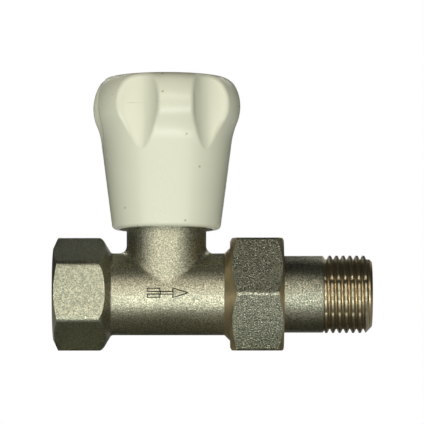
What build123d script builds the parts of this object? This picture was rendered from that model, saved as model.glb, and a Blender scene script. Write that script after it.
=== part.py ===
from build123d import *
import os
from math import cos, radians, sin, sqrt, tan

# Straight manual radiator valve, DN15, drawn closed, with its union made up.
# The origin is the centre of the pipe socket's mouth. +X runs along the pipe
# towards the radiator and +Z up the spindle. Millimetres and degrees.

# Clearances
RUNNING_GAP = 0.05          # where a piece turns or slides in another
THREAD_GAP = 0.05           # between the two sides of a thread
SEAL_GAP = 0.05             # from an O-ring to each wall round it
END_GAP = 0.1               # between shoulders that carry no load
LIFT_GAP = 1.0              # left over above the disc at full lift

# Spanner hexagons
HEX_SIDES = 6
HEX_HALF_STEP = 180 / HEX_SIDES      # corner to the middle of a flat

# Inlet end of the body
SOCKET_DIA = 21.0           # pipe thread, at its outer diameter
SOCKET_DEPTH = 12.5
SOCKET_WALL = 3.0           # thread to the flats of the hexagon
SOCKET_BACK = 0.5           # end of the socket to the edge of the shoulder
INLET_CORNER_ROUND = 2.0
INLET_FACE_MARGIN = 1.0     # flats in to the turned face
INLET_FACE_SLOPE = 25.0     # chamfer of the corners at the face
SHOULDER_SLOPE = 31.0       # cone from the corners down to the tube
SHOULDER_ROUND = 3.0
SHOULDER_FOOT_ROUND = 1.0

# Tube and neck
TUBE_DIA = 22.2
TUBE_WALL = 2.1             # round the channels of the waterway
TUBE_RUN_IN = 4.1           # shoulder to neck
TUBE_RUN_OUT = 4.9          # neck to collar
COLLAR_SLOPE = 45.0
NECK_INSET = 0.3            # side of the tube in to the side of the neck
NECK_HEIGHT = 11.9          # above the tube
NECK_BLEND = 2.0
NECK_EDGE_CHAMFER = 0.3
NECK_RING_WALL = 0.85       # round the bonnet's O-ring
NECK_THREAD_STEP = 0.95     # O-ring seat in to the thread
NECK_THREAD_RUNOUT = 0.5    # below the bonnet

# Waterway and seat
INLET_BORE_STEP = 1.0       # channel in to the inlet bore
CHAMBER_STEP = 0.8          # neck thread in to the chamber
CHAMBER_WALL = 1.9          # chamber to the bores beside it
CHANNEL_OVERRUN = 0.9       # lower channel, past the seat hole
BRIDGE_RISE = 2.0           # pipe axis to the top of the bridge
BRIDGE_THICKNESS = 2.8
SEAT_WIDTH = 1.2
SEAT_HEIGHT = 0.8

# Union
TAIL_THREAD_DIA = 20.955
TAIL_THREAD_LENGTH = 13.2
TAIL_THREAD_CHAMFER = 1.7
TAIL_PLAIN_LENGTH = 13.5
TAIL_RELIEF = 0.08          # thread in to the plain length
TAIL_EDGE_CHAMFER = 0.3
TAIL_WALL = 3.73
FLANGE_THICKNESS = 2.5
FLANGE_BEARING = 1.2        # width that the nut bears on
NOSE_LENGTH = 4.8
NOSE_ROOM = 0.7             # body bore beyond the end of the nose
NOSE_SEAT_STEP = 1.5        # nose bore in to the outlet bore
NOSE_GROOVE_WALL = 0.8
NOSE_RING_SECTION = 1.4
NOSE_RING_SETBACK = 1.2     # end of the nose to the ring's groove
KEY_LUG_WIDTH = 2.5         # two ribs in the tail's bore, for a fitting key
KEY_LUG_HEIGHT = 1.2
KEY_LUG_LENGTH = 8.0
KEY_LUG_SETBACK = 3.0
UNION_THREAD_STEP = 1.2     # flange out to the thread
UNION_THREAD_LENGTH = 8.62
UNION_THREAD_CHAMFER = 0.8
NUT_HOLE_GAP = 0.3          # round the tail
NUT_WALL = 2.02             # thread out to the flats
NUT_LENGTH = 14.5
NUT_LIP = 2.8               # behind the tail's flange
NUT_CORNER_ROUND = 1.2
NUT_FRONT_MARGIN = 0.4      # flats in to the face on the radiator's side
NUT_BACK_MARGIN = 0.8       # and on the body's side
NUT_CHAMFER_SLOPE = 30.0
NUT_TURN = 2.5              # how far round the nut stopped

# Spindle
LIFT = 4.0                  # full opening
STEM_DIA = 8.0
STEM_RING_SECTION = 0.9
STEM_RING_RISE = 2.0        # bonnet's shoulder up to the ring's groove
SPINDLE_THREAD_STEP = 2.0   # stem out to the thread
SPINDLE_THREAD_LENGTH = 8.6
SPINDLE_THREAD_CHAMFER = 0.6
SQUARE_WALL = 1.0           # round the tapped hole in the square end

# Bonnet and gland
BONNET_FLANGE_INSET = 0.2   # side of the neck in to the flange
BONNET_FLANGE_THICKNESS = 2.0
BONNET_RING_SECTION = 1.5
BONNET_HEX_STEP = 1.0       # barrel out to the flats
BONNET_HEX_LENGTH = 7.0
BONNET_CORNER_ROUND = 0.5
BONNET_BARREL_LENGTH = 8.0
GLAND_WALL = 2.2
GLAND_RING_SECTION = 1.7
GLAND_WASHER_THICKNESS = 0.6
GLAND_POCKET_DEPTH = 6.0
GLAND_HEX_STEP = 1.2        # gland thread out to the flats
GLAND_CORNER_ROUND = 0.4
GLAND_HEAD_LENGTH = 3.5

# Disc
SEAL_OVERLAP = 0.6          # of the rubber, past the seat
SEAL_THICKNESS = 2.0
HOLDER_SIDE_GAP = 0.65      # to the wall of the chamber
HOLDER_SKIRT = 0.7          # round the rubber
HOLDER_SKIRT_DEPTH = 1.2
HOLDER_PLATE = 2.2
HOLDER_FLOOR = 0.6          # plate's top to the floor of the spindle's socket
HOLDER_BOSS_STEP = 1.4      # spindle thread in to the boss
HOLDER_BOSS_WALL = 2.0
HOLDER_BOSS_HEIGHT = 4.0
CLIP_THICKNESS = 0.5
CLIP_DEPTH = 0.5            # in each of its two grooves
CLIP_RISE = 1.8             # floor of the socket to the clip
CLIP_OPENING = 2.0
DISC_SCREW_DIA = 3.0
DISC_SCREW_HEAD = 1.2
DISC_SCREW_SLOT_WIDTH = 0.8
DISC_SCREW_SLOT_DEPTH = 0.6
DISC_WASHER_GAP = 0.85      # to the seat's hole, all round
DISC_WASHER_STEP = 1.2      # screw head out to the washer's edge
DISC_WASHER_THICKNESS = 0.6

# Handwheel
RIM_RISE = 6.5              # tube up to the rim
RIM_GAP = 1.85              # neck out to the rim
RIM_ROUND = 1.2
SKIRT_TAPER = 7.4           # half angle
SKIRT_WALL = 2.0
HEAD_BULGE = 1.45           # skirt's line out to the widest place
HEAD_DROP = 8.5             # top down to the widest place
HEAD_ROUND = 10.8
WAIST_ROUND = 16.0
CROWN = 0.5                 # height of the domed top over its edge
CROWN_EDGE_ROUND = 5.0
ROOF = 3.8
DIMPLE_COUNT = 6
DIMPLE_PHASE = 38.0         # first dimple, from the front towards the radiator
DIMPLE_DEPTH = 3.8
DIMPLE_ROUND = 7.0          # seen from above
DIMPLE_BARREL = 105.0       # seen from the side
DIMPLE_DROP = 8.8           # top down to the deepest place
DIMPLE_EDGE_ROUND = 1.6
HUB_GAP = 1.3               # gland nut to hub
HUB_LENGTH = 8.6
HUB_WALL = 2.2
RIB_THICKNESS = 1.6
RIB_HEIGHT = 7.5
CAVITY_ROUND = 2.0
WEB_THICKNESS = 1.6         # under the screw's washer
WHEEL_SCREW_DIA = 3.5
WHEEL_SCREW_LENGTH = 9.0
WHEEL_SCREW_HEAD_DIA = 7.0
WHEEL_SCREW_HEAD = 1.5
WHEEL_SCREW_SLOT_WIDTH = 1.0
WHEEL_SCREW_SLOT_DEPTH = 0.8
WHEEL_WASHER_STEP = 0.5     # screw head out to the washer's edge
WHEEL_WASHER_THICKNESS = 0.5
WASHER_SIDE_GAP = 0.3
CAP_LEDGE = 3.7             # screw pocket out to the side of the cap
CAP_THICKNESS = 2.2
CAP_GAP = 0.1
CAP_EDGE_CHAMFER = 0.3

# Diameters that follow along the pipe
INLET_AF = SOCKET_DIA + 2 * SOCKET_WALL
INLET_CORNER = INLET_AF / 2 / cos(radians(HEX_HALF_STEP))
CHANNEL_DIA = TUBE_DIA - 2 * TUBE_WALL
INLET_BORE_DIA = CHANNEL_DIA - 2 * INLET_BORE_STEP
TAIL_DIA = TAIL_THREAD_DIA - 2 * TAIL_RELIEF
TAIL_BORE_DIA = TAIL_THREAD_DIA - 2 * TAIL_WALL
NOSE_GROOVE_DIA = TAIL_BORE_DIA + 2 * NOSE_GROOVE_WALL
NOSE_BORE_DIA = NOSE_GROOVE_DIA + 2 * NOSE_RING_SECTION + 4 * SEAL_GAP
OUTLET_BORE_DIA = NOSE_BORE_DIA - 2 * NOSE_SEAT_STEP
NUT_HOLE_DIA = TAIL_THREAD_DIA + 2 * NUT_HOLE_GAP
FLANGE_DIA = NUT_HOLE_DIA + 2 * FLANGE_BEARING
UNION_THREAD_DIA = FLANGE_DIA + 2 * UNION_THREAD_STEP
NUT_AF = UNION_THREAD_DIA + 2 * NUT_WALL

# Diameters that follow round the spindle
NECK_DIA = TUBE_DIA - 2 * NECK_INSET
NECK_RING_DIA = NECK_DIA - 2 * NECK_RING_WALL
NECK_THREAD_DIA = NECK_RING_DIA - 2 * NECK_THREAD_STEP
CHAMBER_DIA = NECK_THREAD_DIA - 2 * CHAMBER_STEP
HOLDER_DIA = CHAMBER_DIA - 2 * HOLDER_SIDE_GAP
SEAL_DIA = HOLDER_DIA - 2 * HOLDER_SKIRT
SEAT_DIA = SEAL_DIA - 2 * SEAL_OVERLAP
SEAT_BORE_DIA = SEAT_DIA - 2 * SEAT_WIDTH
SPINDLE_THREAD_DIA = STEM_DIA + 2 * SPINDLE_THREAD_STEP
HOLDER_BOSS_DIA = SPINDLE_THREAD_DIA - 2 * HOLDER_BOSS_STEP
TIP_DIA = HOLDER_BOSS_DIA - 2 * HOLDER_BOSS_WALL
STEM_BORE_DIA = STEM_DIA + 2 * RUNNING_GAP
STEM_GROOVE_DIA = STEM_BORE_DIA - 2 * STEM_RING_SECTION - 4 * SEAL_GAP
GLAND_POCKET_DIA = STEM_DIA + 2 * GLAND_RING_SECTION + 4 * SEAL_GAP
BONNET_BARREL_DIA = GLAND_POCKET_DIA + 2 * GLAND_WALL
BONNET_AF = BONNET_BARREL_DIA + 2 * BONNET_HEX_STEP
GLAND_AF = GLAND_POCKET_DIA + 2 * GLAND_HEX_STEP
DISC_WASHER_DIA = SEAT_BORE_DIA - 2 * DISC_WASHER_GAP
DISC_SCREW_HEAD_DIA = DISC_WASHER_DIA - 2 * DISC_WASHER_STEP
SQUARE_AF = WHEEL_SCREW_DIA + 2 * SQUARE_WALL
WHEEL_WASHER_DIA = WHEEL_SCREW_HEAD_DIA + 2 * WHEEL_WASHER_STEP
SCREW_POCKET_DIA = WHEEL_WASHER_DIA + 2 * WASHER_SIDE_GAP
HUB_DIA = SCREW_POCKET_DIA + 2 * HUB_WALL
CAP_DIA = SCREW_POCKET_DIA + 2 * CAP_LEDGE

# Places along the pipe
SHOULDER_START = SOCKET_DEPTH + SOCKET_BACK
SHOULDER_END = SHOULDER_START + (INLET_CORNER - TUBE_DIA / 2) * tan(radians(SHOULDER_SLOPE))
SPINDLE_X = SHOULDER_END + TUBE_RUN_IN + NECK_DIA / 2
COLLAR_START = SPINDLE_X + NECK_DIA / 2 + TUBE_RUN_OUT
UNION_THREAD_START = COLLAR_START + (UNION_THREAD_DIA - TUBE_DIA) / 2 / tan(radians(COLLAR_SLOPE))
UNION_FACE = UNION_THREAD_START + UNION_THREAD_LENGTH
NOSE_START = UNION_FACE - NOSE_LENGTH
NOSE_GROOVE_START = NOSE_START + NOSE_RING_SETBACK
FLANGE_BACK = UNION_FACE + FLANGE_THICKNESS
NUT_SHOULDER = FLANGE_BACK + RUNNING_GAP
NUT_FRONT = NUT_SHOULDER + NUT_LIP
NUT_BACK = NUT_FRONT - NUT_LENGTH
TAIL_THREAD_START = FLANGE_BACK + TAIL_PLAIN_LENGTH
TAIL_END = TAIL_THREAD_START + TAIL_THREAD_LENGTH

# Levels up the spindle, with the valve closed
SEAT_TOP = BRIDGE_RISE + SEAT_HEIGHT
HOLDER_BOTTOM = SEAT_TOP + SEAL_THICKNESS
HOLDER_PLATE_TOP = HOLDER_BOTTOM + HOLDER_PLATE
SOCKET_FLOOR = HOLDER_PLATE_TOP + HOLDER_FLOOR
HOLDER_TOP = HOLDER_PLATE_TOP + HOLDER_BOSS_HEIGHT
CLIP_BOTTOM = SOCKET_FLOOR + CLIP_RISE
CLIP_TOP = CLIP_BOTTOM + CLIP_THICKNESS
THREAD_BOTTOM = HOLDER_TOP + END_GAP
THREAD_TOP = THREAD_BOTTOM + SPINDLE_THREAD_LENGTH
BONNET_BOTTOM = HOLDER_PLATE_TOP + LIFT + LIFT_GAP
BONNET_SHOULDER = THREAD_TOP + LIFT + END_GAP
STEM_GROOVE_BOTTOM = BONNET_SHOULDER + STEM_RING_RISE
STEM_GROOVE_TOP = STEM_GROOVE_BOTTOM + STEM_RING_SECTION + 2 * SEAL_GAP
NECK_TOP = TUBE_DIA / 2 + NECK_HEIGHT
NECK_RING_BOTTOM = NECK_TOP - BONNET_RING_SECTION - 2 * SEAL_GAP
BONNET_HEX_BOTTOM = NECK_TOP + BONNET_FLANGE_THICKNESS
BONNET_HEX_TOP = BONNET_HEX_BOTTOM + BONNET_HEX_LENGTH
BONNET_TOP = BONNET_HEX_TOP + BONNET_BARREL_LENGTH
GLAND_FLOOR = BONNET_TOP - GLAND_POCKET_DEPTH
GLAND_WASHER_BOTTOM = GLAND_FLOOR + GLAND_RING_SECTION + 2 * SEAL_GAP
GLAND_NUT_BOTTOM = GLAND_WASHER_BOTTOM + GLAND_WASHER_THICKNESS
GLAND_TOP = BONNET_TOP + GLAND_HEAD_LENGTH
HUB_BOTTOM = GLAND_TOP + HUB_GAP
WEB_BOTTOM = HUB_BOTTOM + HUB_LENGTH
WEB_TOP = WEB_BOTTOM + WEB_THICKNESS
SCREW_HEAD_BOTTOM = WEB_TOP + WHEEL_WASHER_THICKNESS
SCREW_HEAD_TOP = SCREW_HEAD_BOTTOM + WHEEL_SCREW_HEAD
CAP_BOTTOM = SCREW_HEAD_TOP + END_GAP
WHEEL_TOP = CAP_BOTTOM + CAP_THICKNESS
WHEEL_RIM = TUBE_DIA / 2 + RIM_RISE
CEILING = WHEEL_TOP - ROOF
SPINDLE_TOP = WEB_BOTTOM - END_GAP

# Outline of the handwheel
RIM_RADIUS = NECK_DIA / 2 + RIM_GAP + SKIRT_WALL
HEAD_LEVEL = WHEEL_TOP - HEAD_DROP
HEAD_RADIUS = RIM_RADIUS + (HEAD_LEVEL - WHEEL_RIM) * tan(radians(SKIRT_TAPER)) + HEAD_BULGE
DIMPLE_FLOOR = HEAD_RADIUS - DIMPLE_DEPTH
CAVITY_RADIUS = DIMPLE_FLOOR - SKIRT_WALL


def turned_on_pipe(*outline):
    """Turn an outline of (x, radius) points about the pipe axis."""
    return revolve(make_face(Polyline(*outline, close=True)), Axis.X)


def pipe_rod(diameter, start, end):
    """A round bar on the pipe axis."""
    radius = diameter / 2
    return turned_on_pipe((start, 0), (start, radius), (end, radius), (end, 0))


def on_spindle(section):
    """Turn a section drawn in radius and height about the spindle axis."""
    return Pos(SPINDLE_X, 0, 0) * revolve(Plane.XZ * section, Axis.Z)


def turned_on_spindle(*outline):
    """Turn an outline of (radius, z) points about the spindle axis."""
    return on_spindle(make_face(Polyline(*outline, close=True)))


def spindle_ring(inner_diameter, outer_diameter, bottom, top):
    """A flat ring on the spindle axis."""
    inner = inner_diameter / 2
    outer = outer_diameter / 2
    return turned_on_spindle((inner, bottom), (outer, bottom), (outer, top), (inner, top))


def spindle_rod(diameter, bottom, top):
    """A round bar on the spindle axis."""
    return spindle_ring(0, diameter, bottom, top)


def hexagon(across_flats, corner_round, turn):
    """A hexagon with rounded corners, the first of them at the angle turn."""
    section = RegularPolygon(across_flats / 2, HEX_SIDES, major_radius=False, rotation=turn)
    return fillet(section.vertices(), corner_round)


def spindle_hexagon(across_flats, corner_round, bottom, top):
    """A hexagonal bar on the spindle axis."""
    section = Pos(SPINDLE_X, 0, bottom) * hexagon(across_flats, corner_round, 0)
    return extrude(section, top - bottom)


def spindle_square(across_flats, diameter, bottom, top):
    """A square bar on the spindle axis, its corners cut back to a round."""
    middle = Pos(SPINDLE_X, 0, (bottom + top) / 2)
    bar = middle * Box(across_flats, across_flats, top - bottom)
    return bar & spindle_rod(diameter, bottom, top)


def ring_on_spindle(section_diameter, inner_diameter, bottom):
    """An O-ring round the spindle axis, standing on a level."""
    ring = Torus((inner_diameter + section_diameter) / 2, section_diameter / 2)
    return Pos(SPINDLE_X, 0, bottom + section_diameter / 2) * ring


def driver_slot(width, length, bottom, top):
    """The driver slot across a screw head."""
    return Pos(SPINDLE_X, 0, (bottom + top) / 2) * Box(length, width, top - bottom)


def corner_near(section, place):
    """The corner of a section that lies nearest to a place."""
    return section.vertices().sort_by_distance(place)[0]


def body_blank():
    """The outside of the body: turned along the pipe, with flats on its inlet end."""
    face = INLET_AF / 2 - INLET_FACE_MARGIN
    lead = (INLET_CORNER - face) * tan(radians(INLET_FACE_SLOPE))
    tube = TUBE_DIA / 2
    thread = UNION_THREAD_DIA / 2
    section = make_face(
        Polyline(
            (0, 0),
            (0, face),
            (lead, INLET_CORNER),
            (SHOULDER_START, INLET_CORNER),
            (SHOULDER_END, tube),
            (COLLAR_START, tube),
            (UNION_THREAD_START, thread),
            (UNION_FACE - UNION_THREAD_CHAMFER, thread),
            (UNION_FACE, thread - UNION_THREAD_CHAMFER),
            (UNION_FACE, 0),
            close=True,
        )
    )
    section = fillet(corner_near(section, (SHOULDER_START, INLET_CORNER)), SHOULDER_ROUND)
    section = fillet(corner_near(section, (SHOULDER_END, tube)), SHOULDER_FOOT_ROUND)
    flats = extrude(Plane.YZ * hexagon(INLET_AF, INLET_CORNER_ROUND, HEX_HALF_STEP), SHOULDER_END)
    return revolve(section, Axis.X) & (flats + pipe_rod(UNION_THREAD_DIA, SHOULDER_END, UNION_FACE))


def neck():
    """The upright neck, with a small chamfer round its top edge."""
    radius = NECK_DIA / 2
    edge = NECK_EDGE_CHAMFER
    return turned_on_spindle(
        (0, 0), (radius, 0), (radius, NECK_TOP - edge), (radius - edge, NECK_TOP), (0, NECK_TOP)
    )


def half_channel(start, end, bottom, top):
    """A half-round channel along the pipe, on one side of the bridge."""
    slab = Pos((start + end) / 2, 0, (bottom + top) / 2) * Box(end - start, CHANNEL_DIA, top - bottom)
    return pipe_rod(CHANNEL_DIA, start, end) & slab


def waterway():
    """All that is bored out of the body: socket, channels, chamber, neck and union end."""
    half = CHANNEL_DIA / 2
    bridge_bottom = BRIDGE_RISE - BRIDGE_THICKNESS
    inlet_end = SPINDLE_X - CHAMBER_DIA / 2 - CHAMBER_WALL
    outlet_start = SPINDLE_X + CHAMBER_DIA / 2 + CHAMBER_WALL
    lower_end = SPINDLE_X + SEAT_BORE_DIA / 2 + CHANNEL_OVERRUN
    chamber = spindle_rod(CHAMBER_DIA, BRIDGE_RISE, NECK_TOP) - spindle_rod(SEAT_DIA, BRIDGE_RISE, SEAT_TOP)
    return (
        pipe_rod(SOCKET_DIA, 0, SOCKET_DEPTH)
        + pipe_rod(INLET_BORE_DIA, 0, inlet_end)
        + half_channel(SOCKET_DEPTH, lower_end, -half, bridge_bottom)
        + spindle_rod(SEAT_BORE_DIA, bridge_bottom - SEAT_HEIGHT, SEAT_TOP)
        + chamber
        + half_channel(SPINDLE_X + SEAT_DIA / 2, outlet_start + CHAMBER_WALL, BRIDGE_RISE, half)
        + pipe_rod(OUTLET_BORE_DIA, outlet_start, UNION_FACE)
        + pipe_rod(NOSE_BORE_DIA, NOSE_START - NOSE_ROOM, UNION_FACE)
        + spindle_rod(NECK_THREAD_DIA, BONNET_BOTTOM - NECK_THREAD_RUNOUT, NECK_TOP)
        + spindle_rod(NECK_RING_DIA, NECK_RING_BOTTOM, NECK_TOP)
    )


def valve_body():
    """The forged body: hexagon, tube, neck and union thread in one piece."""
    blank = body_blank()
    upright = neck()
    body = blank + upright
    body = fillet(new_edges(blank, upright, combined=body), NECK_BLEND)
    return body - waterway()


def union_nut():
    """The loose nut: chamfered hexagon, threaded bore and a lip behind the flange."""
    corner = NUT_AF / 2 / cos(radians(HEX_HALF_STEP))
    back = NUT_AF / 2 - NUT_BACK_MARGIN
    front = NUT_AF / 2 - NUT_FRONT_MARGIN
    slope = tan(radians(NUT_CHAMFER_SLOPE))
    envelope = turned_on_pipe(
        (NUT_BACK, 0),
        (NUT_BACK, back),
        (NUT_BACK + (corner - back) * slope, corner),
        (NUT_FRONT - (corner - front) * slope, corner),
        (NUT_FRONT, front),
        (NUT_FRONT, 0),
    )
    section = Plane.YZ.offset(NUT_BACK) * hexagon(NUT_AF, NUT_CORNER_ROUND, NUT_TURN)
    nut = extrude(section, NUT_LENGTH) & envelope
    nut -= pipe_rod(UNION_THREAD_DIA + 2 * THREAD_GAP, NUT_BACK, NUT_SHOULDER)
    return nut - pipe_rod(NUT_HOLE_DIA, NUT_SHOULDER, NUT_FRONT)


def tailpiece():
    """The tail: nose with a ring groove, flange, plain length, thread and key lugs."""
    bore = TAIL_BORE_DIA / 2
    nose = NOSE_BORE_DIA / 2 - RUNNING_GAP
    groove = NOSE_GROOVE_DIA / 2
    groove_end = NOSE_GROOVE_START + NOSE_RING_SECTION + 2 * SEAL_GAP
    flange = FLANGE_DIA / 2
    plain = TAIL_DIA / 2
    thread = TAIL_THREAD_DIA / 2
    tail = turned_on_pipe(
        (NOSE_START, bore),
        (NOSE_START, nose - TAIL_EDGE_CHAMFER),
        (NOSE_START + TAIL_EDGE_CHAMFER, nose),
        (NOSE_GROOVE_START, nose),
        (NOSE_GROOVE_START, groove),
        (groove_end, groove),
        (groove_end, nose),
        (UNION_FACE, nose),
        (UNION_FACE, flange - TAIL_EDGE_CHAMFER),
        (UNION_FACE + TAIL_EDGE_CHAMFER, flange),
        (FLANGE_BACK, flange),
        (FLANGE_BACK, plain),
        (TAIL_THREAD_START - TAIL_EDGE_CHAMFER, plain),
        (TAIL_THREAD_START, plain - TAIL_EDGE_CHAMFER),
        (TAIL_THREAD_START + TAIL_EDGE_CHAMFER, thread),
        (TAIL_END - TAIL_THREAD_CHAMFER, thread),
        (TAIL_END, thread - TAIL_THREAD_CHAMFER),
        (TAIL_END, bore),
    )
    lug_middle = TAIL_END - KEY_LUG_SETBACK - KEY_LUG_LENGTH / 2
    bar = Pos(lug_middle, 0, 0) * Box(KEY_LUG_LENGTH, TAIL_BORE_DIA + KEY_LUG_HEIGHT, KEY_LUG_WIDTH)
    return tail + (bar - pipe_rod(TAIL_BORE_DIA - 2 * KEY_LUG_HEIGHT, NOSE_START, TAIL_END))


def tailpiece_o_ring():
    """The ring in the groove of the tail's nose."""
    middle = NOSE_GROOVE_START + SEAL_GAP + NOSE_RING_SECTION / 2
    ring = Torus(NOSE_GROOVE_DIA / 2 + SEAL_GAP + NOSE_RING_SECTION / 2, NOSE_RING_SECTION / 2)
    return Pos(middle, 0, 0) * Rot(0, 90, 0) * ring


def bonnet():
    """The bonnet: threaded shank, flange, hexagon and barrel, bored for spindle and gland."""
    shank = NECK_THREAD_DIA / 2 - THREAD_GAP
    undercut = NECK_RING_DIA / 2 - BONNET_RING_SECTION - 2 * SEAL_GAP
    flange = NECK_DIA / 2 - BONNET_FLANGE_INSET
    outside = turned_on_spindle(
        (0, BONNET_BOTTOM),
        (shank, BONNET_BOTTOM),
        (shank, NECK_RING_BOTTOM),
        (undercut, NECK_RING_BOTTOM),
        (undercut, NECK_TOP),
        (flange, NECK_TOP),
        (flange, BONNET_HEX_BOTTOM),
        (0, BONNET_HEX_BOTTOM),
    )
    outside += spindle_hexagon(BONNET_AF, BONNET_CORNER_ROUND, BONNET_HEX_BOTTOM, BONNET_HEX_TOP)
    outside += spindle_rod(BONNET_BARREL_DIA, BONNET_HEX_TOP, BONNET_TOP)
    thread = SPINDLE_THREAD_DIA / 2 + THREAD_GAP
    stem = STEM_BORE_DIA / 2
    pocket = GLAND_POCKET_DIA / 2
    inside = turned_on_spindle(
        (0, BONNET_BOTTOM),
        (thread, BONNET_BOTTOM),
        (thread, BONNET_SHOULDER),
        (stem, BONNET_SHOULDER),
        (stem, GLAND_FLOOR),
        (pocket, GLAND_FLOOR),
        (pocket, BONNET_TOP),
        (0, BONNET_TOP),
    )
    return outside - inside


def bonnet_o_ring():
    """The ring between the bonnet and the neck."""
    inner = NECK_RING_DIA - 2 * BONNET_RING_SECTION - 2 * SEAL_GAP
    return ring_on_spindle(BONNET_RING_SECTION, inner, NECK_RING_BOTTOM + SEAL_GAP)


def gland_nut():
    """The gland nut: a short threaded sleeve under a hexagon."""
    sleeve = spindle_rod(GLAND_POCKET_DIA - 2 * THREAD_GAP, GLAND_NUT_BOTTOM, BONNET_TOP)
    head = spindle_hexagon(GLAND_AF, GLAND_CORNER_ROUND, BONNET_TOP, GLAND_TOP)
    return sleeve + head - spindle_rod(STEM_BORE_DIA, GLAND_NUT_BOTTOM, GLAND_TOP)


def gland_washer():
    """The washer between the gland nut and its ring."""
    outer = GLAND_POCKET_DIA - 2 * THREAD_GAP
    return spindle_ring(STEM_BORE_DIA, outer, GLAND_WASHER_BOTTOM, GLAND_NUT_BOTTOM)


def gland_o_ring():
    """The ring in the gland pocket, round the stem."""
    return ring_on_spindle(GLAND_RING_SECTION, STEM_DIA + 2 * SEAL_GAP, GLAND_FLOOR + SEAL_GAP)


def spindle():
    """The spindle: tip with a clip groove, thread, stem with a ring groove and square end."""
    tip = TIP_DIA / 2
    clip = TIP_DIA / 2 - CLIP_DEPTH - RUNNING_GAP
    thread = SPINDLE_THREAD_DIA / 2
    edge = SPINDLE_THREAD_CHAMFER
    stem = STEM_DIA / 2
    groove = STEM_GROOVE_DIA / 2
    turned = turned_on_spindle(
        (0, SOCKET_FLOOR),
        (tip, SOCKET_FLOOR),
        (tip, CLIP_BOTTOM - RUNNING_GAP),
        (clip, CLIP_BOTTOM - RUNNING_GAP),
        (clip, CLIP_TOP + RUNNING_GAP),
        (tip, CLIP_TOP + RUNNING_GAP),
        (tip, THREAD_BOTTOM),
        (thread - edge, THREAD_BOTTOM),
        (thread, THREAD_BOTTOM + edge),
        (thread, THREAD_TOP - edge),
        (thread - edge, THREAD_TOP),
        (stem, THREAD_TOP),
        (stem, STEM_GROOVE_BOTTOM),
        (groove, STEM_GROOVE_BOTTOM),
        (groove, STEM_GROOVE_TOP),
        (stem, STEM_GROOVE_TOP),
        (stem, HUB_BOTTOM),
        (0, HUB_BOTTOM),
    )
    square = spindle_square(SQUARE_AF, STEM_DIA, HUB_BOTTOM, SPINDLE_TOP)
    hole_bottom = SCREW_HEAD_BOTTOM - WHEEL_SCREW_LENGTH - END_GAP
    return turned + square - spindle_rod(WHEEL_SCREW_DIA + 2 * THREAD_GAP, hole_bottom, SPINDLE_TOP)


def spindle_o_ring():
    """The ring in the groove of the stem."""
    return ring_on_spindle(STEM_RING_SECTION, STEM_GROOVE_DIA + 2 * SEAL_GAP, STEM_GROOVE_BOTTOM + SEAL_GAP)


def valve_disc():
    """The disc holder: plate with a skirt round the rubber and a boss for the spindle's tip."""
    outer = HOLDER_DIA / 2
    rubber = SEAL_DIA / 2
    boss = HOLDER_BOSS_DIA / 2
    socket = TIP_DIA / 2 + RUNNING_GAP
    clip = TIP_DIA / 2 + CLIP_DEPTH
    screw = DISC_SCREW_DIA / 2 + THREAD_GAP
    return turned_on_spindle(
        (screw, HOLDER_BOTTOM),
        (rubber, HOLDER_BOTTOM),
        (rubber, HOLDER_BOTTOM - HOLDER_SKIRT_DEPTH),
        (outer, HOLDER_BOTTOM - HOLDER_SKIRT_DEPTH),
        (outer, HOLDER_PLATE_TOP),
        (boss, HOLDER_PLATE_TOP),
        (boss, HOLDER_TOP),
        (socket, HOLDER_TOP),
        (socket, CLIP_TOP),
        (clip, CLIP_TOP),
        (clip, CLIP_BOTTOM),
        (socket, CLIP_BOTTOM),
        (socket, SOCKET_FLOOR),
        (screw, SOCKET_FLOOR),
    )


def disc_clip():
    """The split ring between the holder's groove and the tip's."""
    ring = spindle_ring(TIP_DIA - 2 * CLIP_DEPTH, TIP_DIA + 2 * CLIP_DEPTH, CLIP_BOTTOM, CLIP_TOP)
    middle = Pos(SPINDLE_X + TIP_DIA / 2, 0, CLIP_BOTTOM + CLIP_THICKNESS / 2)
    return ring - middle * Box(TIP_DIA, CLIP_OPENING, 2 * CLIP_THICKNESS)


def disc_seal():
    """The rubber washer that closes on the seat."""
    return spindle_ring(DISC_SCREW_DIA + 2 * THREAD_GAP, SEAL_DIA, SEAT_TOP, HOLDER_BOTTOM)


def disc_washer():
    """The plain washer under the rubber."""
    inner = DISC_SCREW_DIA + 2 * THREAD_GAP
    return spindle_ring(inner, DISC_WASHER_DIA, SEAT_TOP - DISC_WASHER_THICKNESS, SEAT_TOP)


def disc_screw():
    """The screw that holds rubber and washer to the holder, put in from below."""
    head_top = SEAT_TOP - DISC_WASHER_THICKNESS
    head_bottom = head_top - DISC_SCREW_HEAD
    head = spindle_rod(DISC_SCREW_HEAD_DIA, head_bottom, head_top)
    shank = spindle_rod(DISC_SCREW_DIA, head_top, SOCKET_FLOOR - END_GAP)
    slot_top = head_bottom + DISC_SCREW_SLOT_DEPTH
    return head + shank - driver_slot(DISC_SCREW_SLOT_WIDTH, DISC_SCREW_HEAD_DIA, head_bottom, slot_top)


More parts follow.
